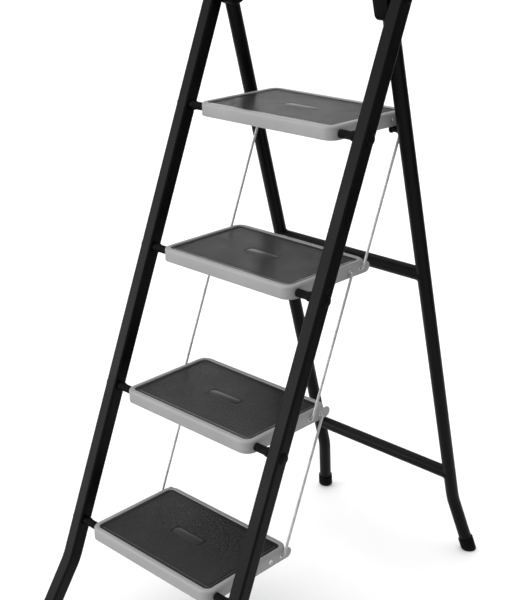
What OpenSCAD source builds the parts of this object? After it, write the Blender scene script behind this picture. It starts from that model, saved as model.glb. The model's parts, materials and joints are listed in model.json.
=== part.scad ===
// Folding household step ladder with four treads.
// The front frame is an inverted U of square tube that leans back, with splayed feet and a raised handrail.
// The rear frame of round tube hinges between the front uprights. Four sheet steel treads pivot on the front
// uprights, wire links keep them parallel, and the top tread hooks over two studs on the rear frame.
// +X is to the climber's right, +Y to the rear and +Z up. The origin is on the floor, under the middle of
// the ladder's bounding box.

/* [Stance] */
// Height of the rear frame's hinge above the floor
hinge_height = 1122; // [1110:1:1135]
// Lean of the front frame from upright, in degrees
front_lean = 22; // [21:0.5:23]
// Lean of the rear frame from upright, in degrees
rear_lean = 16; // [15:0.5:17]

/* [Front frame] */
// Side of the square front tube
front_tube = 25; // [22:1:25]
// Outside corner radius of the square tube
front_corner = 4; // [3:0.5:6]
// Distance from the middle of the ladder to the centreline of a front upright
front_half_width = 195.5; // [195.5:0.5:204]
// Height at which the front legs start to splay
front_splay_height = 150; // [120:5:170]
// Splay of the front feet, in degrees
front_splay = 11.5; // [6:0.5:15]
// Distance above the hinge at which the handrail joins the uprights, along the tube
rail_joint = 26; // [22:1:34]
// Distance above the hinge of the handrail's centreline, along the tube
rail_rise = 121; // [110:1:150]
// Centreline radius of the handrail's two bends
rail_bend = 60; // [45:1:80]

/* [Rear frame] */
// Diameter of the round rear tube
rear_tube = 25; // [22:0.5:25]
// Distance from the middle of the ladder to the centreline of a rear leg
rear_half_width = 169.5; // [169.5:0.1:169.7]
// Height at which the rear legs start to splay
rear_splay_height = 128; // [100:4:150]
// Splay of the rear feet, in degrees
rear_splay = 10.6; // [6:0.2:14]
// Height of the upper rear crossbar
upper_bar_height = 643; // [600:1:700]
// Height of the lower rear crossbar
lower_bar_height = 190; // [175:1:250]

/* [Treads] */
// Number of treads
tread_count = 4; // [4:1:4]
// Height of the first tread's top above the floor
first_tread = 232; // [225:1:240]
// Rise from one tread to the next
tread_rise = 235; // [230:1:237]
// Width of a tread pan
pan_width = 298; // [290:1:298]
// Depth of a tread pan, front to rear
pan_depth = 196; // [194:1:200]
// Height of a tread pan's turned-down sides
pan_height = 22.5; // [20:0.5:25]
// Corner radius of a tread pan, seen from above
pan_corner = 20; // [14:1:20]
// Distance that a pan's front edge stands ahead of its pivots
pan_overhang = 19; // [18:0.5:20]
// Width of the raised rim round the mat
rim_width = 10; // [9.5:0.5:12]
// Height of the rim above the mat
rim_rise = 1.5; // [0.5:0.5:1.5]
// Thickness of the ribbed mat
mat_thickness = 2.5; // [2:0.5:2.5]
// Drop from a tread's top to its pivots
pivot_drop = 12; // [11:0.5:13]

/* [Links] */
// Diameter of the wire links
link_wire = 4.5; // [3.5:0.5:4.5]
// Distance from the middle of the ladder to a link's centreline
link_half_width = 154.3; // [153.8:0.1:154.4]
// Distance from the tread pivots back to the lower and upper links
link_back = 157; // [150:1:160]
// Distance from the tread pivots back to the middle link
middle_link_back = 130; // [120:1:136]

/* [Hidden] */
$fn = 48;

frame_black = [0.05, 0.05, 0.055];
rubber_black = [0.03, 0.03, 0.03];
pan_grey = [0.62, 0.63, 0.64];
mat_black = [0.09, 0.09, 0.09];
zinc_grey = [0.75, 0.76, 0.77];

tube_wall = 1.2;
running_gap = 0.05; // radial clearance of a turning fit
seat_gap = 0.1; // clearance of a piece that slides in once and stays
bend_radius = 120; // centreline radius of the splay bends
eps = 0.01;

// Feet
front_boot = 30;
front_boot_corner = 7;
rear_boot = 30;
boot_grip = 16; // length of tube that a boot covers
tube_end_height = 12; // height of a tube's end above the floor

// Front frame, measured along the upright from the floor
front_line = hinge_height / cos(front_lean);
front_splay_line = front_splay_height / cos(front_lean);
rail_joint_line = front_line + rail_joint;
rail_line = front_line + rail_rise;

// Handrail
joiner_below = 18; // length of a joiner below the joint, inside the upright
joiner_above = 28; // length of a joiner above the joint, inside the handrail
joiner_wall = 2;
rail_screw = 4;
rail_screw_rise = 14; // distance of a screw above the joint
rail_screw_tip = 5; // distance of a screw's tip behind the tube's centreline
rail_screw_head = 8;
rail_screw_head_height = 2.2;
grip = 38;
grip_length = 210;

// Rear frame, measured down the leg from the hinge
rear_line = hinge_height / cos(rear_lean);
rear_splay_line = (hinge_height - rear_splay_height) / cos(rear_lean);

// Fore and aft places
stance = hinge_height * (tan(front_lean) + tan(rear_lean));
front_reach = front_boot / 2 / cos(front_lean);
rear_reach = rear_boot / 2 / cos(rear_lean);
front_y = -(stance + rear_reach - front_reach) / 2;
hinge_y = front_y + hinge_height * tan(front_lean);

// Hinge
hinge_bolt = 8;
bolt_head = 15;
bolt_head_height = 4.5;
hinge_nut = 13;
nut_height = 6;
upright_inner = front_half_width - front_tube / 2;
upright_outer = front_half_width + front_tube / 2;
rear_outer = rear_half_width + rear_tube / 2;
rear_inner = rear_half_width - rear_tube / 2;
knuckle_inner = rear_inner - 6;
knuckle_outer = rear_outer - 2;
knuckle_width = 33;
knuckle_drop = 36;
leg_above_hinge = 9;
washer = 20;

// Tread pivots
tread_bolt = 6;
tread_nut = 10;
tread_nut_height = 5;
tread_nut_gap = 2; // room between a nut and the pan's side, which curves in towards the front
spacer = 14;
spacer_collar = 17;
spacer_collar_length = 10;
plug = 19;
plug_height = 3;
pan_sheet = 1.2;
pan_half = pan_width / 2;
tread_nut_face = pan_half - pan_sheet - tread_nut_gap;
pan_lip = 9; // width of the lips turned in under the front and rear edges
mat_gap = 0.3; // room round the mat, inside the rim
ear_radius = 9.5; // radius of the round end of an ear at a pan's rear corner
ear_reach = 5; // distance of an ear's round end, at its middle, ahead of the pan's rear edge
mat_seat = pivot_drop - rim_rise - mat_thickness; // height above the pivots of the sheet under the mat
top_tread = tread_count - 1;

// Links
clip = 9;
clip_thickness = 1.5;
clip_gap = 1; // room between a clip and the pan's side, which curves in towards the rear
link_elbow = 4; // centreline radius of a link's turned-in ends
link_reach = 12; // length of a turned-in end from the link's centreline

// Studs and hooks under the top tread
stud = 10;
stud_head = 14;
stud_head_thickness = 2.5;
hook_plate = 2.5;
hook_inner = pan_half - pan_sheet - 0.5 - hook_plate;
hook_rivet = 5;
hook_rivet_head = 8;
hook_rivet_head_height = 2;
hook_rivet_places = [-9, 5]; // distances behind the stud
hook_rivet_rise = 17; // height above the stud
stud_back = 139.5; // distance behind the tread pivots
stud_drop = pan_height - pivot_drop + stud / 2; // distance below the tread pivots

// Sides: -1 is left and 1 is right
module on_side(side) {
    if (side > 0) children();
    else mirror([1, 0, 0]) children();
}

module both_sides() {
    for (side = [-1, 1])
        on_side(side) children();
}

// Local frame of the leaning front frame: z runs up the upright from the floor, y points to the rear
module on_front_frame() {
    translate([0, front_y, 0]) rotate([-front_lean, 0, 0]) children();
}

// Local frame of the leaning rear frame: the hinge is the origin, -z runs down the leg
module on_rear_frame() {
    translate([0, hinge_y, hinge_height]) rotate([rear_lean, 0, 0]) children();
}

function pivot_height(i) = first_tread + i * tread_rise - pivot_drop;
function pivot_y(i) = front_y + pivot_height(i) * tan(front_lean);

// Local frame of tread i (0 is the lowest): its pivot axis is the origin
module on_tread(i) {
    translate([0, pivot_y(i), pivot_height(i)]) children();
}

module above_floor() {
    intersection() {
        children();
        translate([-500, -1000, 0]) cube([1000, 2000, 2000]);
    }
}

// Square with round corners, centred
module round_square(side, corner) {
    round_rectangle(side, side, corner);
}

module round_rectangle(width, depth, corner) {
    square([width - 2 * corner, depth], center = true);
    square([width, depth - 2 * corner], center = true);
    for (x = [-1, 1], y = [-1, 1])
        translate([x * (width / 2 - corner), y * (depth / 2 - corner)]) circle(r = corner);
}

module front_section() {
    difference() {
        round_square(front_tube, front_corner);
        round_square(front_tube - 2 * tube_wall, front_corner - tube_wall);
    }
}

module rear_section() {
    difference() {
        circle(d = rear_tube);
        circle(d = rear_tube - 2 * tube_wall);
    }
}

// Arc of the section given as a child. It starts at the origin, runs down and bends towards +X
module bend_outwards(radius, angle) {
    translate([radius, 0, 0]) rotate([0, 180, 0]) rotate([90, 0, 0])
        rotate_extrude(angle = angle) translate([radius, 0]) children();
}

// Where a leg's splay arc ends, and the leg below it
module after_bend(radius, angle) {
    translate([radius * (1 - cos(angle)), 0, -radius * sin(angle)]) rotate([0, -angle, 0]) children();
}

// Leg of the section given as a child, with its corner at the origin: straight above, splayed below
module splayed_leg(above, below, angle) {
    tangent = bend_radius * tan(angle / 2);
    translate([0, 0, tangent]) {
        linear_extrude(above - tangent) children();
        bend_outwards(bend_radius, angle) children();
        after_bend(bend_radius, angle) mirror([0, 0, 1]) linear_extrude(below - tangent) children();
    }
}

// Length of a leg below its splay corner, down to the tube's end
front_below = (front_splay_line - tube_end_height / cos(front_lean)) / cos(front_splay);
rear_below = ((rear_splay_height - tube_end_height) / cos(rear_lean)) / cos(rear_splay);

module cross_pin(diameter, from, to) {
    translate([from, 0, 0]) rotate([0, 90, 0]) cylinder(d = diameter, h = to - from);
}

// Hexagonal nut on an X axis, bored for its bolt
module cross_nut(across, bore, from, to) {
    difference() {
        translate([from, 0, 0]) rotate([0, 90, 0]) cylinder(d = across / cos(30), h = to - from, $fn = 6);
        cross_pin(bore, from - 1, to + 1);
    }
}

module cross_ring(diameter, bore, from, to) {
    difference() {
        cross_pin(diameter, from, to);
        cross_pin(bore, from - 1, to + 1);
    }
}

// ---- Front frame ----

module front_upright(side) {
    color(frame_black) on_side(side) on_front_frame() difference() {
        translate([front_half_width, 0, front_splay_line])
            splayed_leg(rail_joint_line - front_splay_line, front_below, front_splay) front_section();
        for (i = [0 : top_tread])
            translate([0, 0, pivot_height(i) / cos(front_lean)])
                cross_pin(tread_bolt + 2 * seat_gap, upright_inner - 1, upright_outer + 1);
        translate([0, 0, front_line])
            cross_pin(hinge_bolt + 2 * seat_gap, upright_inner - 1, upright_outer + 1);
    }
}

module front_upright_left() { front_upright(-1); }
module front_upright_right() { front_upright(1); }

module handrail_bow() {
    arch = rail_line - rail_bend;
    color(frame_black) on_front_frame() difference() {
        union() {
            both_sides() {
                translate([front_half_width, 0, rail_joint_line])
                    linear_extrude(arch - rail_joint_line) front_section();
                translate([front_half_width - rail_bend, 0, arch]) rotate([90, 0, 0])
                    rotate_extrude(angle = 90) translate([rail_bend, 0]) front_section();
            }
            translate([-(front_half_width - rail_bend), 0, rail_line]) rotate([0, 90, 0])
                linear_extrude(2 * (front_half_width - rail_bend)) front_section();
        }
        both_sides() rail_screw_hole();
    }
}

// Local frame of a handrail screw: z runs to the rear, through the tube's rear wall
module on_rail_screw() {
    translate([front_half_width, 0, rail_joint_line + rail_screw_rise]) rotate([-90, 0, 0]) children();
}

module rail_screw_hole() {
    on_rail_screw() cylinder(d = rail_screw + 2 * seat_gap, h = front_tube / 2 + 1);
}

module handrail_joiners() {
    section = front_tube - 2 * tube_wall - 2 * seat_gap;
    corner = front_corner - tube_wall;
    color(zinc_grey) on_front_frame() both_sides() difference() {
        translate([front_half_width, 0, rail_joint_line - joiner_below])
            linear_extrude(joiner_below + joiner_above) difference() {
                round_square(section, corner);
                round_square(section - 2 * joiner_wall, corner / 2);
            }
        rail_screw_hole();
    }
}

module handrail_screws() {
    color(zinc_grey) on_front_frame() both_sides() on_rail_screw() {
        translate([0, 0, rail_screw_tip]) cylinder(d = rail_screw, h = front_tube / 2 - rail_screw_tip + 1);
        translate([0, 0, front_tube / 2]) cylinder(d = rail_screw_head, h = rail_screw_head_height);
    }
}

module handrail_grip() {
    color(rubber_black) on_front_frame() translate([-grip_length / 2, 0, rail_line]) rotate([0, 90, 0])
        linear_extrude(grip_length) difference() {
            circle(d = grip);
            round_square(front_tube, front_corner);
        }
}

// Rubber boot in a leg's local frame, with the floor cut made later
module boot_on(below, angle) {
    tangent = bend_radius * tan(angle / 2);
    translate([0, 0, tangent]) after_bend(bend_radius, angle)
        translate([0, 0, -(below - tangent)]) children();
}

module front_feet() {
    color(rubber_black) above_floor() both_sides() on_front_frame()
        translate([front_half_width, 0, front_splay_line]) boot_on(front_below, front_splay) difference() {
            translate([0, 0, -30]) linear_extrude(30 + boot_grip) round_square(front_boot, front_boot_corner);
            linear_extrude(boot_grip + 1) round_square(front_tube, front_corner);
        }
}

module hinge_bolts() {
    color(zinc_grey) both_sides() translate([0, hinge_y, hinge_height]) {
        cross_pin(hinge_bolt, knuckle_inner - nut_height - 2, upright_outer + eps);
        cross_pin(bolt_head, upright_outer, upright_outer + bolt_head_height);
    }
}

module hinge_nuts() {
    color(zinc_grey) both_sides() translate([0, hinge_y, hinge_height])
        cross_nut(hinge_nut, hinge_bolt, knuckle_inner - 0.2 - nut_height, knuckle_inner - 0.2);
}

module hinge_washers() {
    color(rubber_black) both_sides() translate([0, hinge_y, hinge_height])
        cross_ring(washer, hinge_bolt + 2 * seat_gap, rear_outer + 0.1, upright_inner);
}

// ---- Pivots of the treads, all held by the front frame ----

module at_every_pivot() {
    for (i = [0 : top_tread])
        on_tread(i) both_sides() children();
}

module tread_bolts() {
    color(zinc_grey) at_every_pivot()
        cross_pin(tread_bolt, tread_nut_face - tread_nut_height - 2, upright_outer);
}

module tread_bolt_nuts() {
    color(zinc_grey) at_every_pivot()
        cross_nut(tread_nut, tread_bolt, tread_nut_face - tread_nut_height, tread_nut_face);
}

module tread_spacers() {
    color(rubber_black) at_every_pivot() {
        cross_ring(spacer, tread_bolt + 2 * seat_gap, pan_half + 0.2, upright_inner - spacer_collar_length);
        cross_ring(spacer_collar, tread_bolt + 2 * seat_gap, upright_inner - spacer_collar_length,
            upright_inner);
    }
}

module tread_bolt_plugs() {
    color(rubber_black) at_every_pivot() cross_pin(plug, upright_outer, upright_outer + plug_height);
}

// ---- Rear frame ----

module rear_leg(side) {
    color(frame_black) on_side(side) on_rear_frame() difference() {
        translate([rear_half_width, 0, -rear_splay_line])
            splayed_leg(rear_splay_line + leg_above_hinge, rear_below, rear_splay) rear_section();
        cross_pin(hinge_bolt + 2 * running_gap, rear_inner - 1, rear_outer + 1);
    }
}

module rear_leg_left() { rear_leg(-1); }
module rear_leg_right() { rear_leg(1); }

module rear_leg_space() {
    translate([rear_half_width, 0, -rear_splay_line]) cylinder(d = rear_tube, h = rear_splay_line);
}

module rear_crossbar(height) {
    color(frame_black) on_rear_frame() difference() {
        translate([-rear_half_width, 0, -(hinge_height - height) / cos(rear_lean)]) rotate([0, 90, 0])
            linear_extrude(2 * rear_half_width) rear_section();
        both_sides() rear_leg_space();
    }
}

module rear_crossbar_upper() { rear_crossbar(upper_bar_height); }
module rear_crossbar_lower() { rear_crossbar(lower_bar_height); }

// Plastic knuckle round the top of each rear leg
module hinge_knuckles() {
    color(rubber_black) both_sides() on_rear_frame() difference() {
        union() {
            cross_pin(knuckle_width, knuckle_inner, knuckle_outer);
            translate([knuckle_inner, -knuckle_width / 2, -knuckle_drop])
                cube([knuckle_outer - knuckle_inner, knuckle_width, knuckle_drop]);
        }
        translate([rear_half_width, 0, -knuckle_drop - 1])
            cylinder(d = rear_tube, h = knuckle_drop + 1 + leg_above_hinge);
        cross_pin(hinge_bolt + 2 * running_gap, knuckle_inner - 1, rear_outer + 1);
    }
}

module rest_studs() {
    color(frame_black) both_sides() difference() {
        on_tread(top_tread) translate([0, stud_back, -stud_drop]) {
            cross_pin(stud, hook_inner - 0.3, rear_half_width);
            cross_pin(stud_head, hook_inner - 0.3 - stud_head_thickness, hook_inner - 0.3);
        }
        on_rear_frame() rear_leg_space();
    }
}

module rear_feet() {
    color(rubber_black) above_floor() both_sides() on_rear_frame()
        translate([rear_half_width, 0, -rear_splay_line]) boot_on(rear_below, rear_splay) difference() {
            translate([0, 0, -30]) cylinder(d = rear_boot, h = 30 + boot_grip);
            cylinder(d = rear_tube, h = boot_grip + 1);
        }
}

// ---- Treads ----

// Plan outline of a pan, made smaller all round by the inset
module pan_outline(inset) {
    translate([0, pan_depth / 2 - pan_overhang])
        round_rectangle(pan_width - 2 * inset, pan_depth - 2 * inset, pan_corner - inset);
}

module step_pan(i) {
    top = pivot_drop;
    bottom = pivot_drop - pan_height;
    recess = mat_seat - pan_sheet;
    color(pan_grey) on_tread(i) difference() {
        union() {
            difference() {
                translate([0, 0, bottom]) linear_extrude(top - bottom) pan_outline(0);
                translate([0, 0, bottom - 1]) linear_extrude(top - bottom - pan_sheet + 1)
                    pan_outline(pan_sheet);
            }
            translate([0, 0, recess]) linear_extrude(top - recess) pan_outline(rim_width - pan_sheet);
            both_sides() pan_ear(bottom);
            translate([0, 0, bottom]) linear_extrude(pan_sheet) difference() {
                pan_outline(0);
                translate([-pan_half, pan_lip - pan_overhang]) square([pan_width, pan_depth - 2 * pan_lip]);
            }
        }
        translate([0, 0, mat_seat]) linear_extrude(top - mat_seat + 1) pan_outline(rim_width);
        both_sides() {
            cross_pin(tread_bolt + 2 * running_gap, pan_half - 5, pan_half + 1);
            for (back = [link_back, middle_link_back])
                translate([0, back, 0]) cross_pin(link_wire + 2 * running_gap, pan_half - 5, pan_half + 1);
        }
    }
}

// Ear that carries a pan's side straight on, past the rounded rear corner
module pan_ear(bottom) {
    ear_back = pan_depth - pan_overhang - ear_reach;
    translate([pan_half - pan_sheet, 0, bottom + ear_radius]) rotate([90, 0, 90])
        linear_extrude(pan_sheet) {
            translate([link_back - ear_radius, -ear_radius])
                square([ear_back - link_back + ear_radius, 2 * ear_radius]);
            translate([ear_back, 0]) circle(r = ear_radius);
        }
}

module step_mat(i) {
    color(mat_black) on_tread(i) translate([0, 0, mat_seat])
        linear_extrude(mat_thickness) pan_outline(rim_width + mat_gap);
}

module step_1_pan() { step_pan(0); }
module step_2_pan() { step_pan(1); }
module step_3_pan() { step_pan(2); }
module step_4_pan() { step_pan(3); }
module step_1_mat() { step_mat(0); }
module step_2_mat() { step_mat(1); }
module step_3_mat() { step_mat(2); }
module step_4_mat() { step_mat(3); }

// Hook plate riveted inside the top pan's side. Its slanted edge has a half-round notch that sits on the stud
module hook(side) {
    color(pan_grey) on_side(side) on_tread(top_tread) translate([hook_inner, stud_back, -stud_drop])
        rotate([90, 0, 90]) difference() {
            linear_extrude(hook_plate) difference() {
                polygon([[-19, 19], [-17, 22], [11, 22], [11, 4], [25, 4], [27, -16], [21, -17]]);
                circle(d = stud + 0.4);
            }
            for (x = hook_rivet_places)
                translate([x, hook_rivet_rise, -1]) cylinder(d = hook_rivet + 2 * seat_gap, h = hook_plate + 2);
        }
}

module step_4_hook_left() { hook(-1); }
module step_4_hook_right() { hook(1); }

module step_4_hook_rivets() {
    color(zinc_grey) both_sides() on_tread(top_tread) for (x = hook_rivet_places)
        translate([0, stud_back + x, hook_rivet_rise - stud_drop]) {
            cross_pin(hook_rivet, hook_inner - 0.5, pan_half - pan_sheet);
            cross_pin(hook_rivet_head, hook_inner - hook_rivet_head_height, hook_inner);
        }
}

// ---- Links ----

// Wire link from tread i up to the next, with both ends turned in through the pans' sides
module link(side, i, back) {
    length = tread_rise / cos(front_lean);
    color(zinc_grey) on_side(side) on_tread(i) translate([link_half_width, back, 0])
        rotate([-front_lean, 0, 0]) {
            translate([0, 0, link_elbow]) cylinder(d = link_wire, h = length - 2 * link_elbow);
            translate([0, 0, length]) link_end();
            mirror([0, 0, 1]) link_end();
        }
}

// Upper turned-in end of a link, its pin axis through the origin
module link_end() {
    translate([-link_elbow, 0, -link_elbow]) rotate([90, 0, 0])
        rotate_extrude(angle = 90) translate([link_elbow, 0]) circle(d = link_wire);
    cross_pin(link_wire, -link_reach, -link_elbow);
}

module link_clips(i, back) {
    face = pan_half - pan_sheet - clip_gap;
    color(zinc_grey) both_sides() for (tread = [i, i + 1])
        on_tread(tread) translate([0, back, 0])
            cross_ring(clip, link_wire, face - clip_thickness, face);
}

module link_lower_left() { link(-1, 0, link_back); }
module link_lower_right() { link(1, 0, link_back); }
module link_lower_clips() { link_clips(0, link_back); }
module link_middle_left() { link(-1, 1, middle_link_back); }
module link_middle_right() { link(1, 1, middle_link_back); }
module link_middle_clips() { link_clips(1, middle_link_back); }
module link_upper_left() { link(-1, 2, link_back); }
module link_upper_right() { link(1, 2, link_back); }
module link_upper_clips() { link_clips(2, link_back); }

front_upright_left();
front_upright_right();
handrail_bow();
handrail_joiners();
handrail_screws();
handrail_grip();
front_feet();
hinge_bolts();
hinge_nuts();
hinge_washers();
tread_bolts();
tread_bolt_nuts();
tread_spacers();
tread_bolt_plugs();
rear_leg_left();
rear_leg_right();
rear_crossbar_upper();
rear_crossbar_lower();
hinge_knuckles();
rest_studs();
rear_feet();
step_1_pan();
step_1_mat();
step_2_pan();
step_2_mat();
step_3_pan();
step_3_mat();
step_4_pan();
step_4_mat();
step_4_hook_left();
step_4_hook_right();
step_4_hook_rivets();
link_lower_left();
link_lower_right();
link_lower_clips();
link_middle_left();
link_middle_right();
link_middle_clips();
link_upper_left();
link_upper_right();
link_upper_clips();
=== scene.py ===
"""Looks of a folding step ladder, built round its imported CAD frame. Lengths are in metres."""

import json
import math

import bmesh
import bpy
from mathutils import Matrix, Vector


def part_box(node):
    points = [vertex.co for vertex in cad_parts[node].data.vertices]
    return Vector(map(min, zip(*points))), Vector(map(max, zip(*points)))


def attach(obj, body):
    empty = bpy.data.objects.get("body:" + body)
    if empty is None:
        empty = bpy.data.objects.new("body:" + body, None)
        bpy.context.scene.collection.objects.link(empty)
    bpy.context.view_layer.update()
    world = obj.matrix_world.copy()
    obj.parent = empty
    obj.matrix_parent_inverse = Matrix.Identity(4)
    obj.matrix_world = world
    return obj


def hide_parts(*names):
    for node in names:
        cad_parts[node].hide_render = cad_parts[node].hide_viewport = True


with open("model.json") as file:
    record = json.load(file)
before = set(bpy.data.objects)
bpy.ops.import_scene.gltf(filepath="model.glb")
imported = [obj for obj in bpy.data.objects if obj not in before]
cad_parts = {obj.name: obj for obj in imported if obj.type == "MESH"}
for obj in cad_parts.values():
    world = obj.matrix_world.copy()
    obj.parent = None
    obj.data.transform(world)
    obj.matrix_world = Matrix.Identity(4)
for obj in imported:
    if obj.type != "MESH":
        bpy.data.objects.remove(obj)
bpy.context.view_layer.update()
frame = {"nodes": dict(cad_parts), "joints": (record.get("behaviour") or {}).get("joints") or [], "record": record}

MM = 0.001
SIDES = (-1, 1)
STEPS = (1, 2, 3, 4)
AXIS_X = Vector((1, 0, 0))
JOINTS = {joint["name"]: joint for joint in frame["joints"]}


# ---- Places, read from the frame ----

def pivot(step):
    """Middle of a tread's pivot axis."""
    return Vector(JOINTS[f"step_{step}_fold"]["pos_m"])


def middle(node):
    """Centre of a CAD node's box."""
    low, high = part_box(node)
    return (low + high) / 2


HINGE = Vector(JOINTS["rear_frame_fold"]["pos_m"])
UP_FRONT = (pivot(4) - pivot(1)).normalized()
UP_REAR = (middle("rear_crossbar_upper") - middle("rear_crossbar_lower")).normalized()
LINK_BACKS = [    # how far behind a tread's pivots its wire holes are
    JOINTS["link_upper_swing"]["pos_m"][1] - pivot(4).y,
    JOINTS["link_middle_swing"]["pos_m"][1] - pivot(3).y,
]


# ---- Camera ----

def make_camera():
    """The front right view of the ladder, a little above its top."""
    data = bpy.data.cameras.new("camera")
    data.lens = 67.03
    data.sensor_width = 36
    data.shift_x = 0.0013
    data.shift_y = 0.063
    camera = bpy.data.objects.new("camera", data)
    camera.location = (1.2299, -1.3365, 1.3036)
    camera.rotation_euler = (math.radians(67.11), 0, math.radians(43.14))
    bpy.context.scene.collection.objects.link(camera)
    bpy.context.scene.camera = camera


# ---- Material building blocks ----

class Surface:
    """A Principled material and short ways to add nodes to it."""

    def __init__(self, name, roughness, metallic=0.0, specular=0.5):
        self.material = bpy.data.materials.new(name)
        self.material.use_nodes = True
        self.tree = self.material.node_tree
        self.shader = self.tree.nodes["Principled BSDF"]
        self.shader.inputs["Roughness"].default_value = roughness
        self.shader.inputs["Metallic"].default_value = metallic
        self.shader.inputs["Specular IOR Level"].default_value = specular
        self.place = self.add("ShaderNodeTexCoord").outputs["Object"]

    def add(self, kind, **settings):
        node = self.tree.nodes.new(kind)
        for name, value in settings.items():
            setattr(node, name, value)
        return node

    def join(self, output, socket):
        self.tree.links.new(output, socket)

    def stretched(self, scale):
        """Object coordinates multiplied by a scale along each axis."""
        mapping = self.add("ShaderNodeMapping")
        mapping.inputs["Scale"].default_value = scale
        self.join(self.place, mapping.inputs["Vector"])
        return mapping.outputs["Vector"]

    def noise(self, scale, detail=3.0, place=None, roughness=0.5):
        node = self.add("ShaderNodeTexNoise")
        node.inputs["Scale"].default_value = scale
        node.inputs["Detail"].default_value = detail
        node.inputs["Roughness"].default_value = roughness
        self.join(place or self.place, node.inputs["Vector"])
        return node.outputs["Fac"]

    def ramp(self, value, stops):
        """Colours or greys by value. Each stop is (position, colour)."""
        node = self.add("ShaderNodeValToRGB")
        elements = node.color_ramp.elements
        while len(elements) < len(stops):
            elements.new(0.5)
        for element, (position, colour) in zip(elements, stops):
            element.position = position
            element.color = colour if len(colour) == 4 else (*colour, 1)
        self.join(value, node.inputs["Fac"])
        return node.outputs["Color"]

    def mix(self, amount, first, second):
        """Blend of two colours, each an output or a plain colour."""
        node = self.add("ShaderNodeMix", data_type="RGBA")
        self.join(amount, node.inputs["Factor"])
        for source, socket in ((first, node.inputs["A"]), (second, node.inputs["B"])):
            if isinstance(source, tuple):
                socket.default_value = (*source, 1)
            else:
                self.join(source, socket)
        return node.outputs["Result"]

    def math(self, operation, first, second):
        node = self.add("ShaderNodeMath", operation=operation)
        for source, socket in zip((first, second), node.inputs):
            if isinstance(source, (int, float)):
                socket.default_value = source
            else:
                self.join(source, socket)
        return node.outputs["Value"]

    def bump(self, height, strength, depth):
        node = self.add("ShaderNodeBump")
        node.inputs["Strength"].default_value = strength
        node.inputs["Distance"].default_value = depth
        self.join(height, node.inputs["Height"])
        self.join(node.outputs["Normal"], self.shader.inputs["Normal"])

    def colour(self, output):
        self.join(output, self.shader.inputs["Base Color"])

    def roughness(self, output):
        self.join(output, self.shader.inputs["Roughness"])


def grey(value):
    return (value, value, value)


def low_wear(surface, reach):
    """1 near the floor, falling to 0 at the height given: where shoes and floors scuff a ladder."""
    split = surface.add("ShaderNodeSeparateXYZ")
    surface.join(surface.place, split.inputs["Vector"])
    fall = surface.add("ShaderNodeMapRange")
    fall.inputs["From Min"].default_value = 0.0
    fall.inputs["From Max"].default_value = reach
    fall.inputs["To Min"].default_value = 1.0
    fall.inputs["To Max"].default_value = 0.0
    surface.join(split.outputs["Z"], fall.inputs["Value"])
    return fall.outputs["Result"]


# ---- Materials ----

def black_powder_coat():
    """Deep black powder coat: fine orange peel, cloudy gloss, faint scuffs that thicken near the feet."""
    surface = Surface("black_powder_coat", roughness=0.4, specular=0.075)
    clouds = surface.noise(9, 4)
    base = surface.ramp(clouds, [(0.3, (0.0009, 0.0009, 0.001)), (0.7, (0.0017, 0.0017, 0.0018))])
    streaks = surface.noise(60, 5, surface.stretched((6, 6, 0.6)), 0.7)
    scuffs = surface.ramp(streaks, [(0.62, grey(0)), (0.7, grey(1))])
    reach = surface.math("ADD", surface.math("MULTIPLY", low_wear(surface, 0.35), 0.35), 0.05)
    surface.colour(surface.mix(surface.math("MULTIPLY", scuffs, reach), base, grey(0.035)))
    surface.roughness(surface.ramp(clouds, [(0.25, grey(0.36)), (0.75, grey(0.48))]))
    surface.bump(surface.noise(900, 2), 0.25, 0.0004)
    return surface.material


def grey_powder_coat():
    """Mid grey satin powder coat of the tread pans."""
    surface = Surface("grey_powder_coat", roughness=0.42, specular=0.35)
    clouds = surface.noise(14, 4)
    base = surface.ramp(clouds, [(0.3, (0.208, 0.208, 0.211)), (0.7, (0.236, 0.236, 0.239))])
    scratches = surface.ramp(
        surface.noise(45, 6, surface.stretched((0.5, 5, 5)), 0.75), [(0.66, grey(0)), (0.72, grey(1))]
    )
    surface.colour(surface.mix(surface.math("MULTIPLY", scratches, 0.2), base, grey(0.36)))
    surface.roughness(surface.ramp(clouds, [(0.25, grey(0.38)), (0.75, grey(0.52))]))
    surface.bump(surface.noise(1100, 2), 0.2, 0.0003)
    return surface.material


def ribbed_rubber():
    """Dull black tread rubber with a fine grain and a little trodden-in dust."""
    surface = Surface("ribbed_rubber", roughness=0.38, specular=0.22)
    dust = surface.noise(22, 6, None, 0.65)
    surface.colour(surface.ramp(dust, [(0.35, (0.0046, 0.0046, 0.0046)), (0.72, (0.0078, 0.0076, 0.0073))]))
    surface.roughness(surface.ramp(dust, [(0.3, grey(0.33)), (0.8, grey(0.45))]))
    surface.bump(surface.noise(1500, 3), 0.3, 0.0003)
    return surface.material


def smooth_rubber():
    """The smoother rubber of the plain bar in the middle of each mat. Its slightly paler colour is partly wear and
    partly a painted sheen on the raised bar.
    """
    surface = Surface("smooth_rubber", roughness=0.4, specular=0.4)
    wear_and_sheen = surface.noise(70, 4)
    # These pale greys are partly worn rubber and partly a painted sheen on the raised bar.
    surface.colour(surface.ramp(wear_and_sheen, [(0.3, grey(0.012)), (0.7, grey(0.018))]))
    surface.roughness(surface.ramp(wear_and_sheen, [(0.3, grey(0.36)), (0.7, grey(0.46))]))
    surface.bump(surface.noise(1500, 2), 0.15, 0.0002)
    return surface.material


def moulded_rubber():
    """Soft black rubber of the feet and the grip, paler where it has rubbed on the floor."""
    surface = Surface("moulded_rubber", roughness=0.7, specular=0.06)
    clouds = surface.noise(55, 5)
    base = surface.ramp(clouds, [(0.3, grey(0.0008)), (0.75, grey(0.0018))])
    rubbed = surface.math("MULTIPLY", low_wear(surface, 0.012), clouds)
    surface.colour(surface.mix(rubbed, base, grey(0.012)))
    surface.bump(surface.noise(1300, 3), 0.3, 0.0004)
    return surface.material


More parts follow.
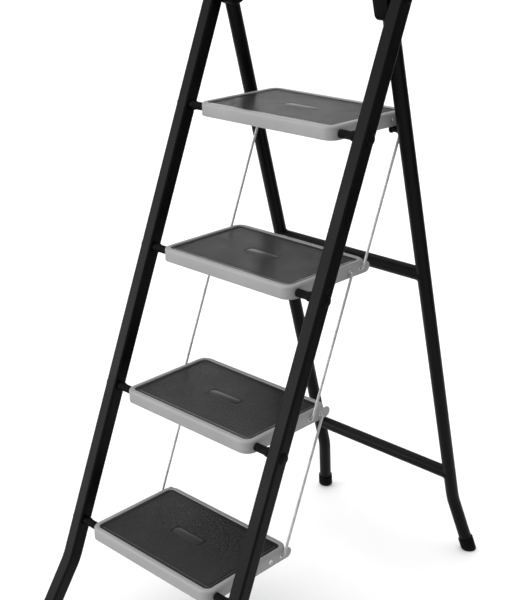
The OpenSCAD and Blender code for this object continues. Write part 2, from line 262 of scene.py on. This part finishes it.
def moulded_plastic():
    """Black moulded plastic of the spacers, plugs and knuckles, with a fine spark-eroded grain."""
    surface = Surface("moulded_plastic", roughness=0.45, specular=0.06)
    clouds = surface.noise(40, 3)
    surface.colour(surface.ramp(clouds, [(0.3, grey(0.0007)), (0.7, grey(0.0013))]))
    surface.roughness(surface.ramp(clouds, [(0.3, grey(0.44)), (0.7, grey(0.56))]))
    surface.bump(surface.noise(1800, 2), 0.25, 0.0002)
    return surface.material


def zinc_plate():
    """Bright zinc plating of bolts, nuts, rivets and clips, with cloudy spangle."""
    surface = Surface("zinc_plate", roughness=0.35, metallic=1.0)
    clouds = surface.noise(180, 3)
    surface.colour(surface.ramp(clouds, [(0.3, (0.50, 0.51, 0.52)), (0.7, (0.66, 0.66, 0.66))]))
    surface.roughness(surface.ramp(clouds, [(0.3, grey(0.28)), (0.7, grey(0.45))]))
    surface.bump(surface.noise(700, 2), 0.15, 0.0002)
    return surface.material


def drawn_wire():
    """Plated wire with fine drawing lines along its length and dulled patches."""
    surface = Surface("drawn_wire", roughness=0.42, metallic=0.6, specular=0.35)
    lines = surface.noise(420, 3, surface.stretched((1, 1, 0.04)))
    patches = surface.noise(38, 4)
    bright = surface.ramp(lines, [(0.35, (0.3, 0.3, 0.305)), (0.65, (0.42, 0.42, 0.425))])
    dull = surface.ramp(patches, [(0.5, grey(0)), (0.75, grey(0.5))])
    surface.colour(surface.mix(dull, bright, (0.22, 0.22, 0.225)))
    surface.roughness(surface.ramp(patches, [(0.3, grey(0.36)), (0.75, grey(0.55))]))
    surface.bump(lines, 0.2, 0.0002)
    return surface.material


def weld_metal():
    """Painted weld bead, rougher than the tube beside it."""
    surface = Surface("painted_weld", roughness=0.5, specular=0.1)
    lumps = surface.noise(260, 3)
    surface.colour(surface.ramp(lumps, [(0.3, grey(0.0015)), (0.7, grey(0.003))]))
    surface.bump(lumps, 0.5, 0.0008)
    return surface.material


def floor_paper():
    """Pale paper sweep under and behind the ladder."""
    surface = Surface("floor_paper", roughness=0.9, specular=0.1)
    surface.colour(surface.ramp(surface.noise(2, 3), [(0.3, grey(0.84)), (0.7, grey(0.86))]))
    return surface.material


def dark_card():
    """Dark studio card on the floor to the right, seen only in reflections. It deepens the black paint."""
    surface = Surface("dark_card", roughness=1.0, specular=0.0)
    surface.colour(surface.ramp(surface.noise(2, 2), [(0.3, grey(0.01)), (0.7, grey(0.014))]))
    return surface.material


# ---- Mesh building blocks ----

SMOOTH_ANGLE = math.radians(40)
BEVEL_ANGLE = math.radians(35)
DRILL_REACH = 8 * MM


def new_piece(name, mesh_maker, material, body, replaced=()):
    """A piece made by mesh_maker(bmesh), smooth shaded up to 40 degrees, riding on a body."""
    mesh = bpy.data.meshes.new(name)
    bm = bmesh.new()
    mesh_maker(bm)
    bmesh.ops.remove_doubles(bm, verts=bm.verts, dist=1e-6)
    bmesh.ops.recalc_face_normals(bm, faces=bm.faces)
    bm.to_mesh(mesh)
    bm.free()
    mesh.shade_smooth()
    mesh.set_sharp_from_angle(angle=SMOOTH_ANGLE)
    piece = bpy.data.objects.new(name, mesh)
    bpy.context.scene.collection.objects.link(piece)
    mesh.materials.append(material)
    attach(piece, body)
    if replaced:
        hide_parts(*replaced)
    return piece


def loft(bm, rings, closed=False):
    """Skin through rings of points. An open loft gets a face over each end, a closed one joins up."""
    loops = [[bm.verts.new(point) for point in ring] for ring in rings]
    pairs = list(zip(loops, loops[1:]))
    if closed:
        pairs.append((loops[-1], loops[0]))
    for one, two in pairs:
        for i in range(len(one)):
            j = (i + 1) % len(one)
            bm.faces.new((one[i], one[j], two[j], two[i]))
    if not closed:
        bm.faces.new(list(reversed(loops[0])))
        bm.faces.new(loops[-1])


def round_outline(width, depth, corner, steps=8):
    """Rectangle with round corners round the origin, anticlockwise, as (x, y) pairs."""
    points = []
    for quarter, (sx, sy) in enumerate(((1, 1), (-1, 1), (-1, -1), (1, -1))):
        for i in range(steps + 1):
            angle = math.pi / 2 * (quarter + i / steps)
            points.append((
                sx * (width / 2 - corner) + corner * math.cos(angle),
                sy * (depth / 2 - corner) + corner * math.sin(angle),
            ))
    return points


def in_mm(pairs):
    """Pairs of lengths given in millimetres, in metres."""
    return [(a * MM, b * MM) for a, b in pairs]


def arc(centre, radius, start, end, steps):
    """Points of an arc in a plane, angles in degrees."""
    angles = [math.radians(start + (end - start) * i / steps) for i in range(steps + 1)]
    return [(centre[0] + radius * math.cos(a), centre[1] + radius * math.sin(a)) for a in angles]


def turned(bm, origin, axis, profile, steps=48, closed=False):
    """Turns a profile of (distance along the axis, radius) points about an axis through the origin."""
    along = Vector(axis).normalized()
    side = along.orthogonal().normalized()
    other = along.cross(side)
    rings = []
    for distance, radius in profile:
        centre = Vector(origin) + along * distance
        rings.append([
            centre + (side * math.cos(a) + other * math.sin(a)) * radius
            for a in (2 * math.pi * i / steps for i in range(steps))
        ])
    loft(bm, rings, closed)


def soften(node, width, segments=2):
    """Rounds the sharp edges of a CAD node."""
    shown = frame["nodes"][node]
    weld = shown.modifiers.new("weld", "WELD")
    weld.merge_threshold = 1e-5
    bevel = shown.modifiers.new("bevel", "BEVEL")
    bevel.width = width
    bevel.segments = segments
    bevel.limit_method = "ANGLE"
    bevel.angle_limit = BEVEL_ANGLE
    shown.modifiers.new("normals", "WEIGHTED_NORMAL")


def paint(node, material):
    """Gives a CAD node its only material."""
    shown = frame["nodes"][node]
    shown.data.materials.clear()
    shown.data.materials.append(material)


# ---- Sizes of the detailed pieces ----

PAN_CORNER = 20 * MM
PAN_DEPTH = 196 * MM        # front to rear, without the ears
PAN_SHEET = 1.2 * MM
PAN_LIP = 9 * MM
PAN_FLOOR_INSET = 30 * MM   # the recess floor is one flat face inside this
EAR_RADIUS = 9.5 * MM
EAR_RISE = 0.25 * MM        # past the pan's side, so that the faces don't coincide
EAR_EDGE = 0.3 * MM
RIM_WIDTH = 10 * MM
RIM_OUTER_ROLL = 4.5 * MM
RIM_INNER_ROLL = 2 * MM
BEAD_PLACES = (0.33, 0.67)  # shares of the pan's depth
BEAD_END = 32 * MM
BEAD_HALF = 7 * MM
BEAD_DEPTH = 2.6 * MM
BEAD_SUNK = 0.3 * MM
MAT_CORNER = 9.7 * MM
MAT_BORDER = 7 * MM
MAT_EDGE = 0.7 * MM
MAT_SLOPE = 0.5 * MM
RIB_PITCH = 3.6 * MM
RIB_WIDTH = 2.8 * MM
RIB_HEIGHT = 0.4 * MM
RIB_SLOPE = 0.45 * MM
RIB_GAP = 1.2 * MM          # from a rib's end to the border
BAR_GAP = 2 * MM            # from a rib's end to the bar
BAR_LENGTH = 68 * MM
BAR_DEPTH = 18 * MM
BAR_CORNER = 8 * MM
WIRE_HOLE = 2.35 * MM
BOLT_HOLE = 3.1 * MM
SPACER_GAP = 0.2 * MM
SPACER_BORE = 4.2           # this and the other spacer sizes are in mm
SPACER_RADIUS = 6.9
SPACER_COLLAR = 10
SPACER_GROOVES = (5.5, 9.5, 13.5)
PLUG_HEIGHT = 3 * MM
KNUCKLE_RADIUS = 16.5 * MM
KNUCKLE_DROP = 35 * MM
KNUCKLE_CORNER = 12 * MM
KNUCKLE_WIDTH = 29          # in mm
HINGE_SHANK = 4 * MM
HINGE_SHANK_EDGE = 0.6 * MM
HINGE_SHANK_END = 10 * MM   # from the nut's outer face to the shank's end
GRIP_BORE = 13 * MM
GRIP_RINGS = 15
GRIP_PLAIN_END = 12 * MM
FRONT_SPLAY = math.radians(11.5)
REAR_SPLAY = math.radians(10.6)
FRONT_BOOT = 15 * MM
FRONT_BOOT_CORNER = 7 * MM
REAR_BOOT = 15 * MM
REAR_TUBE = 12.5 * MM
LEG_PAST_KNUCKLE = 2 * MM   # how far the rear legs' outer sides lie outside the knuckles
WELD_RADIUS = 1.3 * MM
WELD_RIPPLE = 0.14


# ---- Treads ----

def outline_ring(low, high, corner, inset, z):
    """Round rectangle at height z, inside a node's box by the inset."""
    centre = (low + high) / 2
    size = high - low
    pairs = round_outline(size.x - 2 * inset, size.y - 2 * inset, max(corner - inset, 0.5 * MM))
    return [Vector((centre.x + x, centre.y + y, z)) for x, y in pairs]


def pan_shell(bm, low, high, floor):
    """Pressed sheet pan: rolled rim round a shallow recess for the mat, straight sides and a round hem."""
    roll, inner, sheet = RIM_OUTER_ROLL, RIM_INNER_ROLL, PAN_SHEET
    outer_roll = (roll, high.z - roll)
    inner_roll = (RIM_WIDTH - inner, high.z - inner)
    foot = (RIM_WIDTH + sheet, floor + sheet)
    profile = [(PAN_FLOOR_INSET, floor)]
    profile += arc(foot, sheet, 270, 180, 3)
    profile += arc(inner_roll, inner, 0, 90, 5)
    profile += arc(outer_roll, roll, 90, 180, 8)
    profile += arc((sheet / 2, low.z + sheet / 2), sheet / 2, 180, 360, 6)
    profile += arc(outer_roll, roll - sheet, 180, 90, 8)
    profile += arc(inner_roll, inner - sheet, 90, 0, 5)
    profile += arc(foot, 2 * sheet, 180, 270, 3)
    profile.append((PAN_FLOOR_INSET, floor - sheet))
    loft(bm, [outline_ring(low, high, PAN_CORNER, inset, z) for inset, z in profile])


def pan_lip(bm, low, high, end):
    """Lip turned in along the bottom of the pan's front (end -1) or rear (end 1)."""
    ring = outline_ring(low, high, PAN_CORNER, PAN_SHEET / 2, low.z)
    edge = (low.y if end < 0 else high.y) - end * PAN_LIP
    kept = sorted((p for p in ring if (p.y - edge) * end > 0), key=lambda p: p.x)
    kept = [Vector((kept[0].x, edge, low.z)), *kept, Vector((kept[-1].x, edge, low.z))]
    loft(bm, [kept, [p + Vector((0, 0, PAN_SHEET)) for p in kept]])


def pressed_bead(bm, low, high, y, floor):
    """Stiffening bead pressed down into the pan's underside, running from side to side."""
    reach = (high.x - low.x) / 2 - BEAD_END
    top = floor - PAN_SHEET + BEAD_SUNK
    section = arc((0, 0), 1, 180, 360, 10)
    right_end = [(0.93, 1), (0.96, 0.9), (0.985, 0.6), (1, 0.15)]    # (share of the reach, size)
    left_end = [(-share, size) for share, size in reversed(right_end)]
    rings = []
    for share, size in left_end + right_end:
        half, depth = BEAD_HALF * size, BEAD_DEPTH * size
        ring = [(y + across * half, top + down * depth) for across, down in section]
        rings.append([Vector((share * reach, *place)) for place in ring])
    loft(bm, rings)


def pan_ear(bm, side, outer, start, tip, bottom):
    """Ear that carries a pan's side straight on past the rounded rear corner, with a round end."""
    centre = (tip - EAR_RADIUS, bottom + EAR_RADIUS)
    face = outer + EAR_RISE
    rings = []
    for x, inset in ((outer - PAN_SHEET, 0), (face - EAR_EDGE, 0), (face, EAR_EDGE)):
        radius = EAR_RADIUS - inset
        outline = [(start + inset, centre[1] + radius), (start + inset, centre[1] - radius)]
        outline += arc(centre, radius, -90, 90, 16)
        rings.append([Vector((side * x, y, z)) for y, z in outline])
    loft(bm, rings)


def cut_holes(piece, places):
    """Drills round holes along X through a piece. Each place is (centre, radius)."""
    mesh = bpy.data.meshes.new("drill")
    bm = bmesh.new()
    for centre, radius in places:
        turned(bm, centre, AXIS_X, [(-DRILL_REACH, radius), (DRILL_REACH, radius)], 32)
    bmesh.ops.recalc_face_normals(bm, faces=bm.faces)
    bm.to_mesh(mesh)
    bm.free()
    drill = bpy.data.objects.new("drill", mesh)
    bpy.context.scene.collection.objects.link(drill)
    cut = piece.modifiers.new("holes", "BOOLEAN")
    cut.operation = "DIFFERENCE"
    cut.solver = "EXACT"
    cut.object = drill
    bpy.context.view_layer.update()
    made = bpy.data.meshes.new_from_object(piece.evaluated_get(bpy.context.evaluated_depsgraph_get()))
    piece.modifiers.remove(cut)
    old = piece.data
    piece.data = made
    made.name = old.name
    made.set_sharp_from_angle(angle=SMOOTH_ANGLE)
    bpy.data.meshes.remove(old)
    bpy.data.objects.remove(drill)


def make_pan(step, material):
    """A tread's pan with its holes, the lips and beads below it, and the ears at its rear corners."""
    low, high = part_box(f"step_{step}_pan")
    ear_tip = high.y
    high = Vector((high.x, low.y + PAN_DEPTH, high.z))
    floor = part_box(f"step_{step}_mat")[0].z
    body = f"step_{step}"
    holes = []
    for side in SIDES:
        wall = Vector((side * high.x, pivot(step).y, pivot(step).z))
        holes.append((wall, BOLT_HOLE))
        holes += [(wall + Vector((0, back, 0)), WIRE_HOLE) for back in LINK_BACKS]

    def shape(bm):
        pan_shell(bm, low, high, floor)

    def folds(bm):
        for end in SIDES:
            pan_lip(bm, low, high, end)
        for share in BEAD_PLACES:
            pressed_bead(bm, low, high, low.y + (high.y - low.y) * share, floor)

    def ears(bm):
        for side in SIDES:
            pan_ear(bm, side, high.x, pivot(step).y + LINK_BACKS[0] - EAR_RADIUS, ear_tip, low.z)

    pan = new_piece(f"tread_pan_{step}", shape, material, body, [f"step_{step}_pan"])
    cut_holes(pan, holes)
    new_piece(f"tread_folds_{step}", folds, material, body)
    ear_pair = new_piece(f"tread_ears_{step}", ears, material, body)
    cut_holes(ear_pair, holes)


def make_mat(step, rubber_mat, rubber_bar):
    """Rubber mat with a raised border, fine ribs from side to side and a plain raised bar in the middle."""
    low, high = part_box(f"step_{step}_mat")
    centre = (low + high) / 2
    floor = high.z - RIB_HEIGHT
    sunk = floor - 0.2 * MM
    shoulder = floor + 0.1 * MM

    def rib(bm, x0, x1, y):
        foot, crown = RIB_WIDTH / 2, RIB_WIDTH / 2 - RIB_SLOPE
        section = [(-foot, sunk), (-foot, shoulder), (-crown, high.z)]
        section += [(crown, high.z), (foot, shoulder), (foot, sunk)]
        loft(bm, [[Vector((x, y + dy, z)) for dy, z in section] for x in (x0, x1)])

    def mat(bm):
        profile = [(0, low.z), (0, high.z - MAT_EDGE), (0.3 * MAT_EDGE, high.z - 0.3 * MAT_EDGE)]
        profile += [(MAT_EDGE, high.z), (MAT_BORDER - MAT_SLOPE, high.z), (MAT_BORDER, floor)]
        loft(bm, [outline_ring(low, high, MAT_CORNER, inset, z) for inset, z in profile])
        left, right = low.x + MAT_BORDER + RIB_GAP, high.x - MAT_BORDER - RIB_GAP
        bar_left, bar_right = centre.x - BAR_LENGTH / 2 - BAR_GAP, centre.x + BAR_LENGTH / 2 + BAR_GAP
        count = int((high.y - low.y - 2 * MAT_BORDER) / RIB_PITCH)
        for i in range(count):
            offset = (i - (count - 1) / 2) * RIB_PITCH
            if abs(offset) < BAR_DEPTH / 2 + RIB_WIDTH:
                rib(bm, left, bar_left, centre.y + offset)
                rib(bm, bar_right, right, centre.y + offset)
            else:
                rib(bm, left, right, centre.y + offset)

    def bar(bm):
        layers = [(0, sunk), (0, high.z - 0.4 * MM), (0.15 * MM, high.z - 0.1 * MM), (0.5 * MM, high.z)]
        rings = []
        for inset, z in layers:
            outline = round_outline(BAR_LENGTH - 2 * inset, BAR_DEPTH - 2 * inset, BAR_CORNER - inset)
            rings.append([Vector((centre.x + x, centre.y + y, z)) for x, y in outline])
        loft(bm, rings)

    body = f"step_{step}"
    new_piece(f"tread_mat_{step}", mat, rubber_mat, body, [f"step_{step}_mat"])
    new_piece(f"tread_mat_bar_{step}", bar, rubber_bar, body)


def make_eyelets(step, material):
    """Pressed eyelets that line the link holes in a pan's sides."""
    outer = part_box(f"step_{step}_pan")[1].x
    profile = in_mm([(-1.6, 2.35), (-1.6, 3.4), (-1.3, 3.6), (-1.2, 3.0), (0.05, 3.0), (0.1, 4.2),
                     (0.5, 4.1), (0.8, 3.5), (0.75, 2.7), (0.4, 2.35)])

    def shape(bm):
        for side in SIDES:
            for back in LINK_BACKS:
                place = Vector((side * outer, pivot(step).y + back, pivot(step).z))
                turned(bm, place, AXIS_X * side, profile, 28, closed=True)

    new_piece(f"link_eyelets_{step}", shape, material, f"step_{step}")


# ---- Tread pivots ----

def each_pivot():
    """Side and pivot middle of every tread pivot."""
    return [(side, pivot(step)) for step in STEPS for side in SIDES]


def make_spacers(material):
    """Moulded spacers between pans and uprights: a ribbed sleeve that ends in a collar."""
    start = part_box("step_1_pan")[1].x + SPACER_GAP
    length = (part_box("tread_spacers")[1].x - start) / MM
    collar = length - SPACER_COLLAR
    profile = [(0, SPACER_BORE), (0, SPACER_RADIUS - 0.7), (0.7, SPACER_RADIUS)]
    for groove in SPACER_GROOVES:
        profile += [(groove - 0.8, SPACER_RADIUS), (groove, SPACER_RADIUS - 0.5)]
        profile.append((groove + 0.8, SPACER_RADIUS))
    profile += [(collar - 1.2, SPACER_RADIUS), (collar, 7.4), (collar + 1, 8.3)]
    profile += [(length - 0.8, 8.4), (length, 7.8), (length, SPACER_BORE)]

    def shape(bm):
        for side, place in each_pivot():
            turned(bm, place + AXIS_X * side * start, AXIS_X * side, in_mm(profile), 40, closed=True)

    new_piece("pivot_spacers", shape, material, "front_frame", ["tread_spacers"])


def make_plugs(material):
    """Shallow domed plugs over the bolt ends, each with a pressed ring."""
    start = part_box("tread_bolt_plugs")[1].x - PLUG_HEIGHT
    profile = in_mm([(0, 9.4), (1.0, 9.5), (1.8, 9.2), (2.5, 8.5), (2.85, 7.4), (2.9, 6.2), (2.6, 5.9),
                     (2.6, 5.3), (2.85, 5.0), (2.98, 3.0), (3.0, 0.4)])

    def shape(bm):
        for side, place in each_pivot():
            turned(bm, place + AXIS_X * side * start, AXIS_X * side, profile, 40)

    new_piece("pivot_plugs", shape, material, "front_frame", ["tread_bolt_plugs"])


# ---- Hinge ----

def knuckle_outline(inset):
    """Side view of a knuckle in the rear frame's plane, as (across the leg, along the leg)."""
    radius, drop, corner = KNUCKLE_RADIUS - inset, KNUCKLE_DROP - inset, KNUCKLE_CORNER
    points = arc((0, 0), radius, 0, 180, 24)
    points += arc((-radius + corner, -drop + corner), corner, 180, 270, 6)
    points += arc((radius - corner, -drop + corner), corner, 270, 360, 6)
    return points


def make_knuckles(material):
    """Moulded knuckles round the tops of the rear legs, with softened edges."""
    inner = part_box("hinge_knuckles")[1].x - KNUCKLE_WIDTH * MM
    across = Vector((0, UP_REAR.z, -UP_REAR.y))
    layers = in_mm([(0, 2.6), (0.35, 1.3), (1.0, 0.5), (2.4, 0), (KNUCKLE_WIDTH - 1.2, 0),
                    (KNUCKLE_WIDTH - 0.4, 0.4), (KNUCKLE_WIDTH, 1.1)])

    def shape(bm):
        for side in SIDES:
            rings = []
            for x, inset in layers:
                middle_point = Vector((side * (inner + x), HINGE.y, HINGE.z))
                rings.append([middle_point + across * a + UP_REAR * u for a, u in knuckle_outline(inset)])
            loft(bm, rings)

    new_piece("rear_hinge_knuckles", shape, material, "rear_frame", ["hinge_knuckles"])


def make_hinge_bolts(cap_material, shank_material):
    """Hinge bolts: black domed caps outside the uprights and plated shanks through the knuckles."""
    dome = in_mm([(0, 7.5), (0.8, 7.5), (1.8, 7.1), (2.9, 6.1), (3.8, 4.6), (4.3, 2.8), (4.5, 0.5)])
    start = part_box("hinge_bolts")[1].x - dome[-1][0]
    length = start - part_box("hinge_nuts")[1].x + HINGE_SHANK_END
    shank = [(-length, HINGE_SHANK - HINGE_SHANK_EDGE), (-length + HINGE_SHANK_EDGE, HINGE_SHANK),
             (0, HINGE_SHANK)]

    def caps(bm):
        for side in SIDES:
            turned(bm, HINGE + AXIS_X * side * start, AXIS_X * side, dome, 40)

    def shanks(bm):
        for side in SIDES:
            turned(bm, HINGE + AXIS_X * side * start, AXIS_X * side, shank, 32)

    new_piece("hinge_caps", caps, cap_material, "front_frame", ["hinge_bolts"])
    new_piece("hinge_pins", shanks, shank_material, "front_frame")


# ---- Grip, feet and welds ----

def make_grip(material):
    """Foam grip round the handrail, with shallow finger rings and rounded ends."""
    low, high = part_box("handrail_grip")
    outer = (high.z - low.z) / 2
    half = (high.x - low.x) / 2
    right_end = [(half - 3 * MM, outer), (half - 1 * MM, outer - 1.2 * MM), (half, outer - 3.5 * MM),
                 (half, GRIP_BORE)]
    profile = [(-x, radius) for x, radius in reversed(right_end)]
    pitch = 2 * (half - GRIP_PLAIN_END) / GRIP_RINGS
    groove = in_mm([(-1.6, 0), (-0.6, 1.1), (0.6, 1.1), (1.6, 0)])    # (along the grip, depth)
    for i in range(GRIP_RINGS + 1):
        x = -half + GRIP_PLAIN_END + i * pitch
        profile += [(x + along, outer - depth) for along, depth in groove]
    profile += right_end

    def shape(bm):
        turned(bm, (low + high) / 2, AXIS_X, profile, 64, closed=True)

    new_piece("foam_grip", shape, material, "front_frame", ["handrail_grip"])


def boot(bm, floor_point, up, across, outline, top):
    """Rubber boot round a leg's end. Its top is square to the leg and its sole is flat on the floor."""
    third = up.cross(across).normalized()

    def square_ring(height, swell):
        centre = floor_point + up * height
        return [centre + across * x * swell + third * y * swell for x, y in outline]

    def flat_ring(height, swell):
        points = []
        for x, y in outline:
            point = floor_point + across * x * swell + third * y * swell
            points.append(point + up * ((height - point.z) / up.z))
        return points

    cuff = [(1, 0.8), (0, 0.88), (0.6, 0.96), (2, 1), (4.5, 1), (5.2, 0.965), (6.4, 0.965), (7.1, 1)]
    sole = [(5.5, 1), (3.2, 0.995), (1.5, 0.96), (0.4, 0.9), (0, 0.84)]
    rings = [square_ring(top - drop * MM, swell) for drop, swell in cuff]
    rings += [flat_ring(height * MM, swell) for height, swell in sole]
    loft(bm, rings)


def make_feet(node, piece, body, material, half, splay, up, end, outline):
    """Boots of the front (end -1) or rear (end 1) legs."""
    low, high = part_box(node)
    y = (low.y if end < 0 else high.y) - end * half / up.z

    def shape(bm):
        for side in SIDES:
            foot = Vector((side * (high.x - half / math.cos(splay)), y, 0))
            leg = (up * math.cos(splay) - AXIS_X * side * math.sin(splay)).normalized()
            across = (AXIS_X - leg * leg.x).normalized()
            boot(bm, foot, leg, across, outline, (high.z - 3 * MM) / leg.z)

    new_piece(piece, shape, material, body, [node])


def weld_bead(bm, centre, side, up, radius, bead):
    """Bead round the joint of a crossbar and a leg of the same radius."""
    across = Vector((0, up.z, -up.y))
    count, around = 56, 10
    path = []
    for i in range(count):
        angle = 2 * math.pi * i / count
        rise, forward = radius * math.cos(angle), radius * math.sin(angle)
        path.append(centre - AXIS_X * side * math.hypot(rise, bead) + up * rise + across * forward)
    rings = []
    for i, point in enumerate(path):
        ahead = (path[(i + 1) % count] - path[i - 1]).normalized()
        out = ahead.cross(AXIS_X).normalized()
        third = ahead.cross(out)
        swell = bead * (1 + WELD_RIPPLE * math.sin(i * 2.4))
        turns = [2 * math.pi * k / around for k in range(around)]
        rings.append([point + (out * math.cos(a) + third * math.sin(a)) * swell for a in turns])
    loft(bm, rings, closed=True)


def make_welds(material):
    """Beads where the crossbars meet the rear legs."""
    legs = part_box("hinge_knuckles")[1].x + LEG_PAST_KNUCKLE - REAR_TUBE

    def shape(bm):
        for node in ("rear_crossbar_upper", "rear_crossbar_lower"):
            bar = middle(node)
            for side in SIDES:
                weld_bead(bm, Vector((side * legs, bar.y, bar.z)), side, UP_REAR, REAR_TUBE, WELD_RADIUS)

    new_piece("crossbar_welds", shape, material, "rear_frame")


# ---- Studio ----

FLOOR_REACH = 30
CARD_NEAR = (0.7, 0.4)
CARD_FAR = 25
CARD_RISE = 0.002
SKY_FADE_HEIGHT = 0.47      # sine of the elevation at which the sky is at its dimmest
SKY_LOW, SKY_HIGH = 1.15, 0.1
SUNS = (                    # name, direction towards the light, angle in degrees, strength
    ("top_light", (-0.12, -0.15, 1.0), 90, 4.1),
    ("key_light", (-0.62, -0.76, 0.17), 30, 1.7),
    ("back_light", (-0.6, 0.655, 0.04), 12, 0.15),
)


def stage_sheet(name, near, far, height, material):
    """Level sheet from one corner to the other that isn't part of the object."""
    mesh = bpy.data.meshes.new(name)
    outline = [(near[0], near[1]), (far, near[1]), (far, far), (near[0], far)]
    mesh.from_pydata([(x, y, height) for x, y in outline], [], [(0, 1, 2, 3)])
    mesh.materials.append(material)
    sheet = bpy.data.objects.new(name, mesh)
    bpy.context.scene.collection.objects.link(sheet)
    return sheet


def make_sky():
    """White for the camera, and for the light a soft sky that is brightest near the horizon."""
    world = bpy.data.worlds.new("studio")
    world.use_nodes = True
    tree = world.node_tree
    backdrop = tree.nodes["Background"]
    backdrop.inputs["Color"].default_value = (1, 1, 1, 1)
    direction = tree.nodes.new("ShaderNodeTexCoord")
    split = tree.nodes.new("ShaderNodeSeparateXYZ")
    fall = tree.nodes.new("ShaderNodeMapRange")
    fall.inputs["From Max"].default_value = SKY_FADE_HEIGHT
    fall.inputs["To Min"].default_value = SKY_LOW
    fall.inputs["To Max"].default_value = SKY_HIGH
    light_path = tree.nodes.new("ShaderNodeLightPath")
    strength = tree.nodes.new("ShaderNodeMath")
    strength.operation = "MAXIMUM"
    tree.links.new(direction.outputs["Generated"], split.inputs["Vector"])
    tree.links.new(split.outputs["Z"], fall.inputs["Value"])
    tree.links.new(fall.outputs["Result"], strength.inputs[0])
    tree.links.new(light_path.outputs["Is Camera Ray"], strength.inputs[1])
    tree.links.new(strength.outputs["Value"], backdrop.inputs["Strength"])
    bpy.context.scene.world = world


def make_studio():
    """Pale floor, a dark card that only reflections see, the sky and three soft suns."""
    stage_sheet("floor", (-FLOOR_REACH, -FLOOR_REACH), FLOOR_REACH, 0, floor_paper())
    card = stage_sheet("dark_card", CARD_NEAR, CARD_FAR, CARD_RISE, dark_card())
    card.visible_camera = False
    card.visible_diffuse = False
    card.visible_shadow = False
    card.visible_transmission = False
    make_sky()
    for name, towards_light, angle, power in SUNS:
        data = bpy.data.lights.new(name, "SUN")
        data.angle = math.radians(angle)
        data.energy = power
        light = bpy.data.objects.new(name, data)
        light.rotation_euler = Vector(towards_light).to_track_quat("Z", "Y").to_euler()
        bpy.context.scene.collection.objects.link(light)
    bpy.context.scene.view_settings.view_transform = "Standard"


# ---- Assembly ----

make_camera()
paint_black = black_powder_coat()
paint_grey = grey_powder_coat()
rubber = moulded_rubber()
plastic = moulded_plastic()
zinc = zinc_plate()
wire = drawn_wire()
mat_rubber = ribbed_rubber()
bar_rubber = smooth_rubber()

FINISHES = {
    "frame_paint": paint_black,
    "tread_paint": paint_grey,
    "tread_mat": mat_rubber,
    "rubber": rubber,
    "black_plastic": plastic,
    "link_wire": wire,
    "zinc_steel": zinc,
}
for row in frame["record"]["subparts"]:
    paint(row["node"], FINISHES[row["material_slot"]])

for step in STEPS:
    make_pan(step, paint_grey)
    make_mat(step, mat_rubber, bar_rubber)
    make_eyelets(step, zinc)
make_spacers(plastic)
make_plugs(plastic)
make_knuckles(plastic)
make_hinge_bolts(plastic, zinc)
make_grip(rubber)
make_feet("front_feet", "front_boots", "front_frame", rubber, FRONT_BOOT, FRONT_SPLAY, UP_FRONT, -1,
          round_outline(2 * FRONT_BOOT, 2 * FRONT_BOOT, FRONT_BOOT_CORNER))
make_feet("rear_feet", "rear_boots", "rear_frame", rubber, REAR_BOOT, REAR_SPLAY, UP_REAR, 1,
          arc((0, 0), REAR_BOOT, 0, 350, 35))
make_welds(weld_metal())

for node, width in (        # widths of the rounded edges in mm
    ("tread_bolt_nuts", 0.5), ("hinge_nuts", 0.6), ("hinge_washers", 0.3), ("handrail_screws", 0.7),
    ("rest_studs", 0.8), ("step_4_hook_left", 0.5), ("step_4_hook_right", 0.5), ("step_4_hook_rivets", 0.7),
    ("link_lower_clips", 0.3), ("link_middle_clips", 0.3), ("link_upper_clips", 0.3), ("tread_bolts", 0.5),
):
    soften(node, width * MM)

make_studio()
